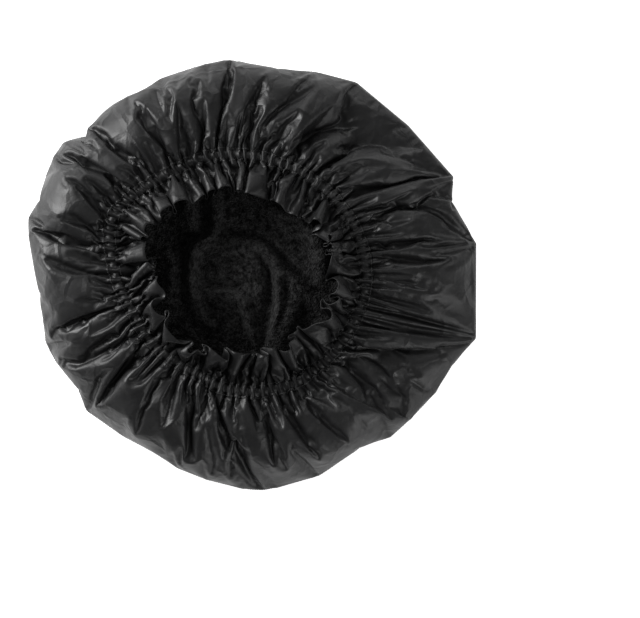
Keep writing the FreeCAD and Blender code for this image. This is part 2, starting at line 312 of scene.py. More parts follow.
def gathered_start():
    """The sheet before it settles, its flat shape rolled into a ring, and the rows of the hem."""
    at, first, last = sheet_rows()
    rim, rim_length = spread_round(RIM, COVER_RADIUS, COLUMNS, 0)
    mouth, _ = spread_round(MOUTH, ELASTIC_RADIUS, COLUMNS, 3)
    outward = unit(rim)
    inward = unit(-mouth)
    column = np.arange(COLUMNS)
    angle = TURN * column / COLUMNS
    hem_height = hem_heights(angle)
    tilt = frill_tilt(angle)
    pleat_size, fine, medium, ruffle = pleat_waves(column, angle)
    rim_phase, mouth_phase = fold_phase(degrees_of(rim) % 360, degrees_of(mouth) % 360)
    crest = np.array([f[2] for f in FOLDS] + [FOLDS[0][2]])
    lip = mouth - inward * ELASTIC_AT
    points = np.zeros((len(at), COLUMNS, 3))
    rise = np.zeros((len(at), COLUMNS))
    for row, distance in enumerate(at):
        from_lip = distance - BAND_LENGTH
        if from_lip < 0:
            q = distance / BAND_LENGTH
            ends = [rim, rim + outward * 3 * MM, 0.34 * rim + 0.66 * lip, lip]
            heights = [BINDING_TOP, 50 * MM, HEM_HEIGHT + 10 * MM, hem_height]
            share = [(1 - q) ** 3, 3 * q * (1 - q) ** 2, 3 * q * q * (1 - q), q**3]
            points[row, :, :2] = sum(w * e for w, e in zip(share, ends))
            points[row, :, 2] = sum(w * h for w, h in zip(share, heights))
            phase = (1 - q) * rim_phase + q * mouth_phase
            height = np.interp(phase % len(FOLDS), np.arange(len(crest)), crest)
            large = 1 - 1.5 * abs(np.sin(TURN / 2 * phase)) ** 0.8
            to_lip = -from_lip
            rise[row] = CREST_RISE * height * large * smoothstep(distance, 0, 55 * MM) * (
                0.35 + 0.65 * smoothstep(to_lip, 0, 50 * MM)
            )
            near = smoothstep(to_lip, 0, 15 * MM) * (1 - smoothstep(to_lip, 20 * MM, 70 * MM))
            rise[row] += PUCKER_RISE * medium * near
            rise[row] += pleat_size * fine * (1 - smoothstep(to_lip, 6 * MM, 28 * MM))
        else:
            free = max(0, from_lip - 18 * MM)
            points[row, :, :2] = lip + inward * (from_lip - free + free * np.cos(tilt))[:, None]
            points[row, :, 2] = hem_height + free * np.sin(tilt)
            flare = smoothstep(from_lip, 15 * MM, 60 * MM)
            rise[row] = pleat_size * fine * (1 - 0.85 * smoothstep(from_lip, 16 * MM, 36 * MM))
            rise[row] += FRILL_RISE * medium * flare
            points[row, :, :2] += inward * (RUFFLE_PUSH * ruffle * flare)[:, None]
    # Near the elastic the pleats rise straight up, and elsewhere square to the cloth.
    off_elastic = abs(at - BAND_LENGTH - ELASTIC_AT)
    level = 1 - smoothstep(off_elastic, 6 * MM, 14 * MM)[:, None, None]
    away = grid_normals(points) * (1 - level) + np.array([0, 0, 1.0]) * level
    points += away * rise[..., None]
    rest = np.zeros_like(points)
    rest[..., 0] = rim_length / TURN * np.cos(angle)
    rest[..., 1] = rim_length / TURN * np.sin(angle)
    rest[..., 2] = at[:, None]
    return points, rest, at, first, last


# Stiff, light cloth with some air in it, whose folds come out long and crisp.
CLOTH = {
    "quality": 5,
    "mass": 0.002,
    "tension_stiffness": 30,
    "compression_stiffness": 30,
    "shear_stiffness": 12,
    "bending_model": "ANGULAR",
    "bending_stiffness": 15,
    "tension_damping": 0.5,
    "compression_damping": 0.5,
    "shear_damping": 0.5,
    "bending_damping": 0.02,
    "air_damping": 2,
    "use_pressure": True,
    "uniform_pressure_force": 70,
}
CLOTH_GRAVITY = 0.04            # as a share of the real one
LEAST_GAP = 1.2 * MM            # between folds


def settle(start, rest, held_rows, frames):
    """Runs Blender's cloth on the sheet, held along some rows, and returns where its points end."""
    rows, columns = start.shape[:2]
    obj = new_mesh("settling_sheet", start, grid_faces(rows, columns))
    obj.shape_key_add(name="Basis")
    flat = obj.shape_key_add(name="as_cut")
    flat.data.foreach_set("co", rest.astype(np.float32).ravel())
    group = obj.vertex_groups.new(name="held")
    group.add([row * columns + c for row in held_rows for c in range(columns)], 1.0, "REPLACE")
    # The cloth only takes its rest shape from the shape key when another modifier comes before it.
    obj.modifiers.new("unchanged", "WEIGHTED_NORMAL")
    cloth = obj.modifiers.new("Cloth", "CLOTH")
    for setting, value in CLOTH.items():
        setattr(cloth.settings, setting, value)
    cloth.settings.vertex_group_mass = "held"
    cloth.settings.rest_shape_key = flat
    cloth.settings.effector_weights.gravity = CLOTH_GRAVITY
    cloth.collision_settings.use_collision = False
    cloth.collision_settings.use_self_collision = True
    cloth.collision_settings.self_distance_min = LEAST_GAP
    cloth.point_cache.frame_start = 1
    cloth.point_cache.frame_end = frames
    scene = bpy.context.scene
    scene.frame_start, scene.frame_end = 1, frames
    for number in range(1, frames + 1):
        scene.frame_set(number)
    settled = obj.evaluated_get(bpy.context.evaluated_depsgraph_get()).data
    points = np.zeros(rows * columns * 3, np.float32)
    settled.vertices.foreach_get("co", points)
    bpy.data.objects.remove(obj)
    scene.frame_set(1)
    return points.reshape(rows, columns, 3).astype(float)


LEAST_RISE = 13 * MM            # of the band above the binding, once it is clear of the rim
HEM_RISE = 22 * MM              # and how much more of it at the hem
SOFT_LIMIT = 4 * MM             # over which a point that hangs too low is eased up


def kept_in_height(points, at):
    """Raises what hangs lowest, to leave room for the lining, and eases down the highest folds."""
    low = BINDING_TOP + LEAST_RISE * smoothstep(at, 2 * MM, 32 * MM)
    low = low + HEM_RISE * (1 - smoothstep(BAND_LENGTH - at, 0, 60 * MM))
    low = low[:, None]
    height = points[..., 2]
    lifted = low + SOFT_LIMIT * np.logaddexp(0, (height - low) / SOFT_LIMIT)
    height = np.where(height < low + 5 * SOFT_LIMIT, lifted, height)
    span = HIGHEST - EASED_FROM
    eased = EASED_FROM + span * np.tanh((height - EASED_FROM) / span)
    points[1:, :, 2] = np.where(height > EASED_FROM, eased, height)[1:]
    return points


start, rest, row_at, first_held, last_held = gathered_start()
from_elastic = abs(row_at - BAND_LENGTH - ELASTIC_AT)
held_rows = [row for row in range(first_held, last_held + 1) if from_elastic[row] < HELD_WITHIN]
settled = settle(start, rest, [0, *held_rows], FRAMES)
settled = kept_in_height(settled, row_at)

# ---- materials
class Finish:
    """A material with one Principled shader, and short ways to add nodes in front of it."""

    def __init__(self, name, **sockets):
        self.material = bpy.data.materials.new(name)
        self.material.use_nodes = True
        self.tree = self.material.node_tree
        self.shader = next(n for n in self.tree.nodes if n.type == "BSDF_PRINCIPLED")
        for socket, value in sockets.items():
            self.shader.inputs[socket.replace("_", " ")].default_value = value

    def add(self, kind, into=None, out=0, settings=None, **sockets):
        """Adds a node. Sockets go by name, or by number as i0. (node, output) is a link."""
        node = self.tree.nodes.new("ShaderNode" + kind)
        for key, value in (settings or {}).items():
            setattr(node, key, value)
        for socket, value in sockets.items():
            numbered = socket[0] == "i" and socket[1:].isdigit()
            target = node.inputs[int(socket[1:]) if numbered else socket.replace("_", " ")]
            if isinstance(value, tuple) and hasattr(value[0], "outputs"):
                self.tree.links.new(value[0].outputs[value[1]], target)
            else:
                target.default_value = value
        if into:
            self.tree.links.new(node.outputs[out], self.shader.inputs[into])
        return node

    def product(self, a, b):
        return self.add("Math", settings={"operation": "MULTIPLY"}, i0=a, i1=b)

    def wave(self, direction, place, scale, **more):
        """A regular wave across X or Y, or across both if diagonal."""
        return self.add(
            "TexWave", settings={"bands_direction": direction}, Vector=place, Scale=scale, **more
        )

    def ramp(self, source, low, high, low_value, high_value):
        """A number that goes from low_value to high_value as the source goes from low to high."""
        ends = {"From_Min": low, "From_Max": high, "To_Min": low_value, "To_Max": high_value}
        return self.add("MapRange", Value=source, **ends)

    def tint(self, source, dark, light):
        """Base colour between two colours, by the source."""
        kind = {"data_type": "RGBA"}
        return self.add("Mix", "Base Color", out=2, settings=kind, Factor=source, A=dark, B=light)

    def bump(self, heights):
        """Surface relief from several (height, distance in metres, strength)."""
        below = None
        for height, distance, strength in heights:
            extra = {"Normal": (below, 0)} if below else {}
            below = self.add("Bump", Height=height, Distance=distance, Strength=strength, **extra)
        self.tree.links.new(below.outputs[0], self.shader.inputs["Normal"])


def grey(value, blue=1.0):
    return (value, value, value * blue, 1.0)


WEAVE_SCALE = 440.0             # of the texture of the fabric's yarns
BAND_GLOSS = 0.42
HEM_SHADED_GLOSS = 0.33                # lower than the band's, as painted shade for the hem's shadowed folds


def coated_fabric(name, gloss):
    """Black plain weave with a thin glossy coating, slightly crinkled from being folded."""
    finish = Finish(name, Roughness=0.45, Specular_IOR_Level=gloss)
    cloth = (finish.add("UVMap", settings={"uv_map": "cloth"}), 0)
    place = (finish.add("TexCoord"), 3)
    crinkle = finish.add(
        "TexNoise", Vector=place, Scale=60.0, Detail=5.0, Roughness=0.5, Distortion=0.8
    )
    drift = finish.add("TexNoise", Vector=place, Scale=22.0, Detail=3.0, Roughness=0.5)
    # Places that wander a little, so that creases aren't straight.
    bent = finish.add(
        "Mix", settings={"data_type": "VECTOR"}, Factor=0.035, A=place, B=(drift, 1)
    )
    cells = finish.add(
        "TexVoronoi", settings={"feature": "DISTANCE_TO_EDGE"}, Vector=(bent, 1), Scale=24.0
    )
    creases = finish.ramp((cells, 0), 0.0, 0.16, 1.0, 0.0)
    warp = finish.wave("X", cloth, WEAVE_SCALE, Distortion=0.3)
    weft = finish.wave("Y", cloth, WEAVE_SCALE, Distortion=0.3)
    weave = finish.product((warp, 1), (weft, 1))
    pressed = finish.add(
        "TexNoise", settings={"noise_type": "RIDGED_MULTIFRACTAL"}, Vector=(bent, 1), Scale=20.0,
        Detail=3.0, Roughness=0.55, Distortion=0.15,
    )
    finish.bump([
        ((weave, 0), 0.00005, 0.25),
        ((crinkle, 0), 0.0012, 0.45),
        ((creases, 0), 0.0012, 0.6),
        ((pressed, 0), 0.004, 0.65),
    ])
    worn = finish.ramp((drift, 0), 0.35, 0.65, 0.42, 0.54)
    finish.tree.links.new(worn.outputs[0], finish.shader.inputs["Roughness"])
    finish.tint((crinkle, 0), grey(0.005, 1.05), grey(0.011, 1.04))
    return finish.material


def fleece():
    """Black short-pile fleece: matt, mottled, with a little sheen from its fibre tips."""
    finish = Finish(
        "fleece_black", Roughness=0.95, Specular_IOR_Level=0.12, Sheen_Weight=0.12,
        Sheen_Roughness=0.5,
    )
    finish.shader.inputs["Sheen Tint"].default_value = grey(0.55)
    place = (finish.add("TexCoord"), 3)
    loops = finish.add("TexVoronoi", Vector=place, Scale=360.0)
    tufts = finish.add("TexNoise", Vector=place, Scale=240.0, Detail=3.0, Roughness=0.6)
    patches = finish.add("TexNoise", Vector=place, Scale=110.0, Detail=2.0, Roughness=0.5)
    mixed = finish.product((tufts, 0), (patches, 0))
    finish.bump([((loops, 0), 0.002, 1.0), ((tufts, 0), 0.004, 1.0)])
    lit = finish.ramp((mixed, 0), 0.15, 0.37, 0.0, 1.0)
    finish.tint((lit, 0), grey(0.0006), grey(0.046))
    return finish.material


def thread():
    """Black twisted sewing thread."""
    finish = Finish("thread_black", Roughness=0.5, Specular_IOR_Level=0.5, Sheen_Weight=0.2)
    place = (finish.add("TexCoord"), 3)
    twist = finish.wave("DIAGONAL", place, 900.0)
    finish.bump([((twist, 1), 0.0001, 0.5)])
    finish.tint((twist, 1), grey(0.012), grey(0.03))
    return finish.material


def ribbed(name, dark, light, pitch):
    """Narrow woven goods, such as tape or elastic, with ribs across their length."""
    finish = Finish(name, Roughness=0.75, Specular_IOR_Level=0.3, Sheen_Weight=0.15)
    cloth = (finish.add("UVMap", settings={"uv_map": "cloth"}), 0)
    ribs = finish.wave("X", cloth, 1 / pitch / 3.2)
    fuzz = finish.add("TexNoise", Vector=(finish.add("TexCoord"), 3), Scale=600.0, Detail=3.0)
    mixed = finish.product((ribs, 1), (fuzz, 0))
    finish.bump([((ribs, 1), 0.0002, 0.6), ((fuzz, 0), 0.0002, 0.4)])
    finish.tint((mixed, 0), grey(dark), grey(light))
    return finish.material


FABRIC = coated_fabric("coated_fabric_black", BAND_GLOSS)
# The hem's fabric is a less glossy copy of the band's, darker as painted shade for its shadowed
# folds.
SHADED_HEM_FABRIC = coated_fabric("coated_fabric_black_painted_shade", HEM_SHADED_GLOSS)
FLEECE = fleece()
THREAD = thread()
TAPE = ribbed("binding_tape_black", 0.008, 0.024, 0.6 * MM)
ELASTIC = ribbed("elastic_black", 0.012, 0.04, 0.8 * MM)

# ---- ways to make pieces
def banded_cloth(name, points, thick, material):
    """Cuts a ring of cloth by planes through the Z axis, and makes each part a closed piece.

    The parts share their edge points and the whole ring's normals, so no join shows. They stand for
    the CAD node of that name."""
    rows, columns = points.shape[:2]
    around = np.tile(np.linspace(0, 1, columns, endpoint=False), (rows, 1))
    along = np.tile(np.linspace(0, BAND_LENGTH, rows)[:, None], (1, columns))
    whole = new_mesh(name, points, grid_faces(rows, columns), np.stack([around, along], axis=2))
    bm = bmesh.new()
    bm.from_mesh(whole.data)
    bpy.data.objects.remove(whole)
    for number in range(SECTORS // 2):
        angle = TURN * number / SECTORS
        geometry = bm.verts[:] + bm.edges[:] + bm.faces[:]
        across = (-math.sin(angle), math.cos(angle), 0)
        bmesh.ops.bisect_plane(bm, geom=geometry, plane_co=(0, 0, 0), plane_no=across, dist=1e-7)
    bm.normal_update()
    bm.verts.index_update()
    place = np.array([v.co for v in bm.verts])
    normal = np.array([v.normal for v in bm.verts])
    faces = [[v.index for v in f.verts] for f in bm.faces]
    middle = np.array([f.calc_center_median() for f in bm.faces])
    layer = bm.loops.layers.uv["cloth"]
    cloth = [[tuple(corner[layer].uv) for corner in f.loops] for f in bm.faces]
    bm.free()
    sector = (degrees_of(middle) % 360 // (360 / SECTORS)).astype(int)
    for number in range(SECTORS):
        own = np.flatnonzero(sector == number)
        own_faces = [faces[i] for i in own]
        own_cloth = [unbroken(cloth[i]) for i in own]
        own_name = f"{name}_{number + 1:02d}"
        obj = closed_cloth(own_name, place, normal, own_faces, thick, own_cloth)
        finish_piece(obj, material, nodes=[name])
        bend_to_mouth(obj)


def unbroken(corners):
    """A face's places on the cloth in metres. A face across the start of the sheet is mended."""
    crosses = max(u for u, v in corners) - min(u for u, v in corners) > 0.5
    return [((u + 1 if crosses and u < 0.5 else u) * sheet_round, v) for u, v in corners]


def closed_cloth(name, place, normal, faces, thick, cloth):
    """A piece of cloth with both faces and its edge, made from some faces of a larger sheet.

    cloth holds the place on the cloth of each corner of each face."""
    used = sorted({i for f in faces for i in f})
    number = {old: new for new, old in enumerate(used)}
    front = [[number[i] for i in f] for f in faces]
    count = len(used)
    back = [[i + count for i in reversed(f)] for f in front]
    edges = {}
    for face in front:
        for a, b in zip(face, face[1:] + face[:1]):
            edges[(a, b)] = edges.get((a, b), 0) + 1
    border = [(a, b) for a, b in edges if (b, a) not in edges]
    sides = [(b, a, a + count, b + count) for a, b in border]
    points = np.concatenate([place[used], place[used] - normal[used] * thick])
    at = {i: uv for f, corners in zip(front, cloth) for i, uv in zip(f, corners)}
    side_uv = [at[i % count] for f in sides for i in f]
    front_uv = [uv for corners in cloth for uv in corners]
    back_uv = [uv for corners in cloth for uv in reversed(corners)]
    obj = new_mesh(name, points, front + back + sides, corner_uv=front_uv + back_uv + side_uv)
    normals = np.concatenate([normal[used], -normal[used]])
    obj.data.normals_split_custom_set_from_vertices(normals.tolist())
    return obj


def bend_to_mouth(obj):
    """Bakes a part of the band's placement into its mesh."""
    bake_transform(obj)


SECTION_ROUND = 0.02            # metres of cloth round a tape's section, for its weave


def tube_round(name, ring, section, uv_length):
    """A closed profile swept round a closed ring. section holds (outward, up) offsets in metres."""
    count = len(ring)
    tangent = np.roll(ring, -1, axis=0) - np.roll(ring, 1, axis=0)
    tangent[:, 2] = 0
    tangent = unit(tangent)
    outward = np.stack([tangent[:, 1], -tangent[:, 0], np.zeros(count)], axis=1)
    section = np.asarray(section, float)
    points = ring[None] + section[:, 0, None, None] * outward[None]
    points = points + section[:, 1, None, None] * np.array([0, 0, 1.0])
    rows = len(section)
    uv = np.zeros((rows, count, 2))
    uv[..., 0] = np.linspace(0, uv_length, count)[None]
    uv[..., 1] = np.linspace(0, SECTION_ROUND, rows)[:, None]
    return new_mesh(name, points, loop_faces(rows, count), uv)


def rounded_section(width, height, corner):
    """A flat profile with round corners, anticlockwise."""
    section = []
    for side, (x, z) in enumerate(((1, -1), (1, 1), (-1, 1), (-1, -1))):
        for step in range(4):
            angle = math.radians(-90 + 90 * side + 30 * step)
            section.append((
                x * (width / 2 - corner) + corner * math.cos(angle),
                z * (height / 2 - corner) + corner * math.sin(angle),
            ))
    return section


def stitches(name, lines, spacing, radius=THREAD_DIA / 2):
    """Rows of separate stitches. A line is (points, normals), and a stitch lies on its cloth."""
    points, faces = [], []
    sides, rings = 6, 5
    swell = np.array([0.35, 0.9, 1.0, 0.9, 0.35])
    pitch, length = spacing
    for line, normal in lines:
        along = np.concatenate([[0], np.cumsum(np.linalg.norm(np.diff(line, axis=0), axis=1))])
        count = int(along[-1] / pitch)
        for number in range(count):
            at = (number + 0.5) * along[-1] / count + np.linspace(-0.5, 0.5, rings) * length
            middle = np.stack([np.interp(at, along, line[:, k]) for k in range(3)], axis=1)
            up = unit(np.stack([np.interp(at, along, normal[:, k]) for k in range(3)], axis=1))
            across = unit(np.cross(np.gradient(middle, axis=0), up))
            first = len(points)
            for ring in range(rings):
                sunk = radius * (0.2 if ring in (0, rings - 1) else 0.75)
                for side in range(sides):
                    turn = TURN * side / sides
                    points.append(
                        middle[ring] + up[ring] * (sunk + radius * swell[ring] * math.sin(turn))
                        + across[ring] * radius * swell[ring] * math.cos(turn)
                    )
            for ring in range(rings - 1):
                for side in range(sides):
                    a, b = first + ring * sides + side, first + ring * sides + (side + 1) % sides
                    faces.append((a, b, b + sides, a + sides))
            faces.append(tuple(first + side for side in reversed(range(sides))))
            faces.append(tuple(first + (rings - 1) * sides + side for side in range(sides)))
    return new_mesh(name, np.array(points), faces)

# ---- the band and its lining
fine = refined(settled)
fine_normal = grid_normals(fine)
fine_at = np.empty(2 * len(row_at) - 1)
fine_at[0::2] = row_at
fine_at[1::2] = (row_at[1:] + row_at[:-1]) / 2
lip_row = 2 * first_held
sheet_round = np.linalg.norm(np.roll(rest[0], -1, axis=0) - rest[0], axis=1).sum()
band_end = lip_row + 2
# The outside of the band's cloth, whose middle is the sheet.
band_grid = fine[: band_end + 1]
band_grid = band_grid + grid_normals(band_grid) * (FABRIC_THICK / 2)
banded_cloth("side_band", band_grid, FABRIC_THICK, FABRIC)

LINING_WAVES = 55               # folds round the band finer than this many don't show in its lining
LINING_ROW = 3                  # rows of the band's grid to one of its lining's coarse grid
LINING_COLUMN = 4               # and columns
LINING_INSIDE = 5 * MM          # of the band, before it is pushed clear
LINING_CLEAR = 3.2 * MM         # at the least
PUSH_AT_MOST = 3 * MM           # in one pass
PUSH_PASSES = 8


def band_lining_grid():
    """A smoother copy of the band, inside it by the thickness of the pile and never through it."""
    count = fine.shape[1]
    wave = np.fft.rfft(fine[: lip_row + 1 : LINING_ROW], axis=1)
    order = np.arange(wave.shape[1])
    wave *= np.exp(-((order / LINING_WAVES) ** 2))[None, :, None]
    smooth = np.fft.irfft(wave, count, axis=1)[:, ::LINING_COLUMN]
    for _ in range(2):
        smooth[1:-1] = (smooth[:-2] + 2 * smooth[1:-1] + smooth[2:]) / 4
    rows, columns = band_grid.shape[:2]
    flat = band_grid.reshape(-1, 3)
    tree = BVHTree.FromPolygons(flat.tolist(), grid_faces(rows, columns))
    inside = -grid_normals(smooth)
    lining = smooth + inside * LINING_INSIDE
    for _ in range(PUSH_PASSES):
        for row in range(1, len(lining)):
            for column in range(lining.shape[1]):
                spot, normal, _, gap = tree.find_nearest(Vector(lining[row, column]))
                behind = (Vector(lining[row, column]) - spot).dot(normal) < 0
                if gap < LINING_CLEAR or not behind:
                    missing = LINING_CLEAR - gap if behind else LINING_CLEAR + gap
                    lining[row, column] += inside[row, column] * min(missing, PUSH_AT_MOST)
        padded = np.concatenate([lining[:1], lining, lining[-1:]])
        sides = np.roll(lining, 1, axis=1) + np.roll(lining, -1, axis=1) + padded[:-2] + padded[2:]
        lining[1:-1] = 0.7 * lining[1:-1] + 0.075 * sides[1:-1]
    within_binding = 1 - (BINDING_WIDTH + 2 * MM) / COVER_RADIUS
    lining[0, :, :2] = fine[0, ::LINING_COLUMN, :2] * within_binding
    lining[0, :, 2] = BINDING_TOP
    lining[..., 2] = np.maximum(lining[..., 2], BINDING_TOP)
    return refined(lining)


lining_grid = band_lining_grid()
banded_cloth(
    "side_band_lining", lining_grid, BAND_FLEECE_THICK, FLEECE
)

# ---- the hem strip
LIP_HALF = 0.95 * MM            # half the strip's thickness where it holds the band's edge
HEADER_HALF = 0.62 * MM         # and elsewhere
LEAST_HALF = 0.06 * MM          # of the gap between its layers
FOLD_OVERHANG = 0.12            # of the last row's step, for the folded free edge
STRIP_CLOTH = (2.1, 0.23)       # metres of cloth round it and across it, for its weave


def hem_strip():
    """The doubled strip: header, pocket for the elastic, and the lip that holds the band's edge."""
    middle, normal = fine[lip_row::2], fine_normal[lip_row::2]
    at = fine_at[lip_row::2] - BAND_LENGTH
    level = smooth_round(middle[..., 2], 12)
    in_pocket = smoothstep(at, 4 * MM, 7.5 * MM) * (1 - smoothstep(at, 16.5 * MM, 19.5 * MM))
    in_pocket = in_pocket[:, None]
    sheet_half = np.where(at < 5 * MM, LIP_HALF, HEADER_HALF)[:, None]
    casing = ELASTIC_THICK / 2 + FABRIC_THICK + 0.3 * MM
    layers = []
    for side, depth in ((1, 0), (1, FABRIC_THICK), (-1, FABRIC_THICK), (-1, 0)):
        off = side * np.maximum(sheet_half - depth, LEAST_HALF)
        plain = middle + normal * off[..., None]
        above = np.maximum(side * (middle[..., 2] - level), 0) * side
        round_elastic = middle.copy()
        round_elastic[..., 2] = level + above + side * (casing - depth)
        layers.append(plain * (1 - in_pocket[..., None]) + round_elastic * in_pocket[..., None])
    top, top_inner, bottom_inner, bottom = layers
    edge = middle[-1:] + (middle[-1:] - middle[-2:-1]) * FOLD_OVERHANG
    section = np.concatenate([edge, top[::-1], top_inner[:-1], bottom_inner[:-1][::-1], bottom])
    rows_round, columns = section.shape[:2]
    uv = np.zeros((rows_round, columns, 2))
    uv[..., 0] = np.linspace(0, STRIP_CLOTH[0], columns)[None]
    uv[..., 1] = np.linspace(0, STRIP_CLOTH[1], rows_round)[:, None]
    faces = loop_faces(rows_round, columns)
    return new_mesh("hem_strip_gathered", section, faces, uv), top, bottom


def smooth_round(values, columns):
    """A running mean along each closed row."""
    total = sum(np.roll(values, shift, axis=1) for shift in range(-columns, columns + 1))
    return total / (2 * columns + 1)


hem, hem_top, hem_bottom = hem_strip()
finish_piece(hem, SHADED_HEM_FABRIC, "mouth_hem", ["hem_strip"])

# ---- the face and its folds
# Each soft fold of the face and its lining, in mm, as seen from above: (height, width, points).
RIDGES = [
    (14, 62, [(-45, 40), (0, 0), (45, -30)]),
    (24, 12, [(-62, 131), (-60, 68), (-90, 40), (-97, -8), (-88, -46), (-68, -74)]),
    (21, 20, [(-62, 66), (-22, 46), (16, 38), (42, 12), (70, -12), (88, -40)]),
    (20, 22, [(56, 0), (62, -36), (46, -80), (22, -124)]),
    (24, 17, [(2, 128), (38, 92), (80, 72), (104, 38), (102, -6)]),
    (22, 10, [(-92, -22), (-46, -30), (-18, -41), (-8, -68), (6, -110)]),
    (25, 11, [(30, 22), (39, -6), (38, -52), (20, -112)]),
    (19, 12, [(-114, 130), (-98, 92), (-86, 66)]),
    (14, 14, [(-134, 40), (-124, 0), (-132, -44)]),
]
# Each narrow hollow between them, in the same way: (depth, width, points).
HOLLOWS = [
    (21, 6.5, [(12, 28), (22, 8), (24, -38), (16, -92), (10, -124)]),
    (20, 5.5, [(-56, 84), (-22, 67), (15, 58), (42, 31), (64, 9), (88, -8)]),
    (23, 11, [(-84, -54), (-54, -62), (-33, -74), (-22, -112)]),
    (14, 6, [(44, 112), (76, 98), (116, 76)]),
    (14, 6, [(-80, 124), (-78, 92), (-74, 66)]),
    (9, 8, [(-74, 26), (-77, -6), (-56, -14), (-20, -16), (8, -12)]),
]
CURVE_STEP = 2.0                # mm between the points that a fold's line is worked out at
BLEND_SHARPNESS = 3             # of the join of two folds that meet
FULL_HOLLOW_AT = 10 * MM        # raised less than this, a hollow is shallower
FLAT_FROM = 150 * MM            # from the middle, where the folds begin to fade
FLAT_TO = 200 * MM


def curve_through(points):
    """Evenly spaced points on a smooth line through the given ones."""
    control = np.array(points, float)
    padded = np.vstack([2 * control[0] - control[1], control, 2 * control[-1] - control[-2]])
    line = []
    for a, b, c, d in zip(padded, padded[1:], padded[2:], padded[3:]):
        count = max(2, int(np.linalg.norm(c - b) / CURVE_STEP))
        square = 2 * a - 5 * b + 4 * c - d
        cube = 3 * b - a - 3 * c + d
        for t in np.arange(count) / count:
            line.append(0.5 * (2 * b + (c - a) * t + square * t**2 + cube * t**3))
    line.append(control[-1])
    return np.array(line)


def along_lines(lines, x, y):
    """Height of some folds at each place. They fade at their ends, and join where they meet."""
    total = np.zeros(x.shape)
    for height, width, points in lines:
        line = curve_through(points) * MM
        share = np.sin(np.linspace(0.12, 0.88, len(line)) * math.pi)
        best = np.zeros(x.shape)
        for (px, py), rise in zip(line, share):
            near = np.exp(-((x - px) ** 2 + (y - py) ** 2) / (width * MM) ** 2)
            best = np.maximum(best, near * rise * height * MM)
        total = (total**BLEND_SHARPNESS + best**BLEND_SHARPNESS) ** (1 / BLEND_SHARPNESS)
    return total


def face_height(x, y):
    """How far the folds lift the face off what it lies on."""
    raised = along_lines(RIDGES, x, y)
    raised = raised - along_lines(HOLLOWS, x, y) * smoothstep(raised, 0, FULL_HOLLOW_AT)
    reach = np.hypot(x, y)
    return np.maximum(raised, 0) * (1 - smoothstep(reach, FLAT_FROM, FLAT_TO))


def disc_grid(count):
    """A square grid of points from -1 to 1 bent into a disc, with even spacing."""
    line = np.linspace(-1, 1, count)
    a, b = np.meshgrid(line, line)
    x = a * np.sqrt(1 - b * b / 2)
    y = b * np.sqrt(1 - a * a / 2)
    return x, y


def face_sheet(name, count, inset, low_z, thick):
    """A round sheet that follows the folds of the face. Its underside is thick below its top."""
    x, y = disc_grid(count)
    degrees = np.degrees(np.arctan2(y, x)) % 360
    reach = np.hypot(x, y)
    rim = straight_radius(RIM, degrees) * COVER_RADIUS - inset
    x, y = reach * rim * np.cos(np.radians(degrees)), reach * rim * np.sin(np.radians(degrees))
    z = low_z + thick + face_height(x, y)
    place = np.stack([x, y, z], axis=-1)
    faces = []
    for row in range(count - 1):
        for column in range(count - 1):
            a = row * count + column
            faces.append((a, a + 1, a + 1 + count, a + count))
    flat = place.reshape(-1, 3)
    normal = unit(np.cross(np.gradient(place, axis=1), np.gradient(place, axis=0)), 2)
    cloth = [[(flat[i, 0], flat[i, 1]) for i in f] for f in faces]
    return closed_cloth(name, flat, normal.reshape(-1, 3), faces, thick, cloth)


PANEL_POINTS = 140              # across the sheet's grid
FLEECE_POINTS = 222
PANEL_OVERHANG = 0.4 * MM       # past the rim, to meet the band's outside
fleece_inset = BINDING_WIDTH + FABRIC_THICK

panel = face_sheet("face_panel_outer", PANEL_POINTS, -PANEL_OVERHANG, 0, PANEL_THICK)
finish_piece(panel, FABRIC, "cover", ["face_panel"])
lining = face_sheet("face_lining_fleece", FLEECE_POINTS, fleece_inset, PANEL_THICK, FLEECE_THICK)
finish_piece(lining, FLEECE, "cover", ["face_lining"])


# ---- the rim's binding and the elastic
BINDING_POINTS = 720
BINDING_ROUNDING = 0.4          # degrees, that the tape's corners are rounded by
ELASTIC_LENGTH = 1.2            # metres of braid, for its ribs
rim_line, rim_length = spread_round(RIM, COVER_RADIUS, BINDING_POINTS, BINDING_ROUNDING)
rim_ring = np.column_stack([rim_line, np.zeros(len(rim_line))])
binding_ring = rim_ring * (1 - (BINDING_WIDTH / 2 + FABRIC_THICK) / COVER_RADIUS)
binding_ring[:, 2] = (PANEL_THICK + BINDING_TOP) / 2
binding_section = rounded_section(BINDING_WIDTH, BINDING_TOP - PANEL_THICK - 0.1 * MM, 0.9 * MM)
binding = tube_round("rim_seam_binding_tape", binding_ring, binding_section, rim_length)
finish_piece(binding, TAPE, "cover", ["rim_seam_binding"])

elastic_row = int(np.argmin(abs(row_at - BAND_LENGTH - ELASTIC_AT)))
elastic_line = fine[2 * elastic_row, ::2].copy()
elastic_line[:, 2] = smooth_round(fine[2 * elastic_row : 2 * elastic_row + 1, :, 2], 12)[0, ::2]
elastic_section = rounded_section(ELASTIC_WIDTH, ELASTIC_THICK * 0.9, 0.4 * MM)
elastic = tube_round("elastic_band_flat", elastic_line, elastic_section, ELASTIC_LENGTH)
finish_piece(elastic, ELASTIC, "mouth_hem", ["elastic_band"])

# ---- the stitches
def sewn(name, lines, node, body=None, spacing=STITCH):
    """Rows of stitches that stand for a CAD node. With no body, they are attached to none."""
    obj = stitches(name, lines, spacing)
    return finish_piece(obj, THREAD, body, [node])


def closed_line(points, normals):
    """A ring and its normals, with the first point again at the end."""
    return np.vstack([points, points[:1]]), np.vstack([normals, normals[:1]])


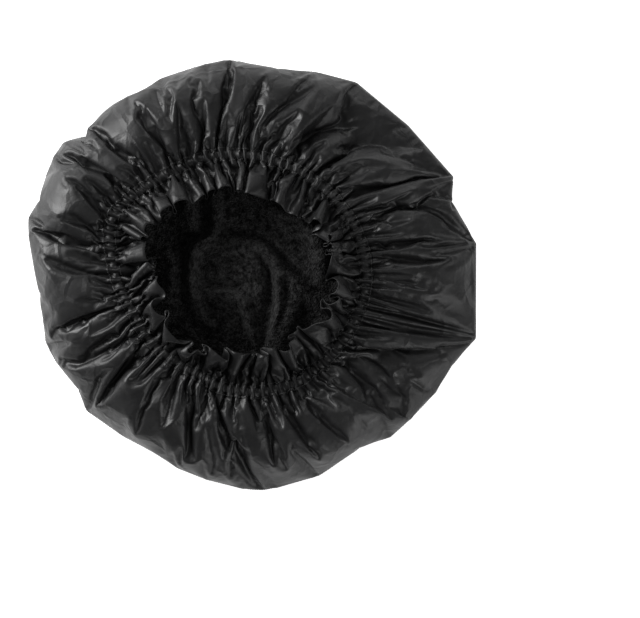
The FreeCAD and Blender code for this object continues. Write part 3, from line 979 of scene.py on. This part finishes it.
def hem_rows(row, name, node):
    """Stitches through both layers of the hem, along one row of its cloth."""
    local = (row - lip_row) // 2
    normal = fine_normal[row]
    lines = [closed_line(hem_top[local], normal), closed_line(hem_bottom[local], -normal)]
    sewn(name, lines, node, "mouth_hem", HEM_STITCH)


outer_row = 2 * int(np.argmin(abs(row_at - BAND_LENGTH - HEM_ROWS[1])))
inner_row = 2 * int(np.argmin(abs(row_at - BAND_LENGTH - HEM_ROWS[-1])))
hem_rows(outer_row, "hem_outer_stitch_rows", "hem_outer_stitches")
hem_rows(inner_row, "hem_inner_stitch_rows", "hem_inner_stitches")

RIM_STITCH_AT = 5 * MM          # from the rim
SEAM_ENDS = 4                   # rows at each end of the band with no seam stitches
rim_row = int(np.argmin(abs(fine_at - RIM_STITCH_AT)))
rim_lines = [closed_line(fine[rim_row], fine_normal[rim_row])]
sewn("rim_seam_stitch_row", rim_lines, "rim_seam_stitches", "cover")


def seam_line(grid):
    """The column of a grid nearest to the seam, from just above the rim to just below the hem."""
    half = grid[len(grid) // 2]
    away = abs((degrees_of(half) - SEAM_DEG + 180) % 360 - 180)
    column = int(np.argmin(away))
    rows = slice(SEAM_ENDS, len(grid) - SEAM_ENDS)
    return grid[rows, column], grid_normals(grid)[rows, column]


line, normal = seam_line(band_grid)
band_seam = sewn("band_seam_stitch_row", [(line, normal)], "band_seam_stitches")
bend_to_mouth(band_seam)
line, normal = seam_line(lining_grid)
line = line - normal * BAND_FLEECE_THICK
lining_seam = sewn("lining_seam_stitch_row", [(line, -normal)], "lining_seam_stitches")
bend_to_mouth(lining_seam)


def lap_lines():
    """Rows across the elastic, two at each end of its lap."""
    middle = int(np.argmin(abs(degrees_of(elastic_line) - SEAM_DEG)))
    rows = []
    for step in (-4, -2, 2, 4):
        spot = elastic_line[(middle + step) % len(elastic_line)]
        across = np.array([spot[0], spot[1], 0]) / np.hypot(spot[0], spot[1])
        ends = np.linspace(-0.38, 0.38, 6)[:, None] * ELASTIC_WIDTH * across
        raised = spot + ends + np.array([0, 0, ELASTIC_THICK * 0.45])
        rows.append((raised, np.tile([0, 0, 1.0], (len(ends), 1))))
    return rows


lap_stitches = stitches("elastic_lap_stitch_rows", lap_lines(), LAP_STITCH, LAP_THREAD_RADIUS)
finish_piece(lap_stitches, THREAD, "mouth_hem", ["elastic_lap_stitches"])

# ---- camera, light and floor
CAMERA_LENS = 85.0
FRAME_WIDTH = 977 * MM          # of what the camera takes in, at the height of FRAME_HEIGHT
FRAME_HEIGHT = 30 * MM
CAMERA_OVER = (102 * MM, -53 * MM)
camera = bpy.data.objects.new("camera", bpy.data.cameras.new("camera"))
camera.data.lens = CAMERA_LENS
camera_above = FRAME_WIDTH * CAMERA_LENS / camera.data.sensor_width
camera.location = (*CAMERA_OVER, FRAME_HEIGHT + camera_above)
bpy.context.scene.collection.objects.link(camera)
bpy.context.scene.camera = camera


def soft_light(name, place, size, power):
    """A rectangular lamp in watts, turned to the middle of the cover."""
    light = bpy.data.objects.new(name, bpy.data.lights.new(name, "AREA"))
    light.data.shape = "RECTANGLE"
    light.data.size, light.data.size_y = size
    light.data.energy = power
    light.location = place
    light.rotation_euler = (-Vector(place)).to_track_quat("-Z", "Y").to_euler()
    bpy.context.scene.collection.objects.link(light)


soft_light("key", (-1.55, 0.75, 0.85), (1.0, 0.9), 52)
soft_light("side", (0.5, 1.6, 0.8), (0.9, 0.7), 7)
soft_light("fill", (1.2, -1.0, 0.9), (1.2, 0.9), 12)

WORLD_LIGHT = 0.14
FLOOR_HALF = 60.0               # metres, so that its edge is never seen
FLOOR_GLOW = 0.85               # keeps the floor evenly pale
world = bpy.data.worlds.new("studio")
world.use_nodes = True
background = next(n for n in world.node_tree.nodes if n.type == "BACKGROUND")
background.inputs["Color"].default_value = (1, 1, 1, 1)
background.inputs["Strength"].default_value = WORLD_LIGHT
bpy.context.scene.world = world
bpy.context.scene.view_settings.view_transform = "Standard"

corners = ((-1, -1), (1, -1), (1, 1), (-1, 1))
floor_corners = [(x * FLOOR_HALF, y * FLOOR_HALF, 0) for x, y in corners]
floor = new_mesh("floor", floor_corners, [(0, 1, 2, 3)])
floor.location.z = -0.3 * MM
paper = Finish("floor_paper", Roughness=0.9, Specular_IOR_Level=0.1)
grain = paper.add("TexNoise", Scale=40.0, Detail=2.0)
paper.tint((grain, 0), grey(0.88), grey(0.9))
paper.shader.inputs["Emission Color"].default_value = grey(1.0)
paper.shader.inputs["Emission Strength"].default_value = FLOOR_GLOW
floor.data.materials.append(paper.material)
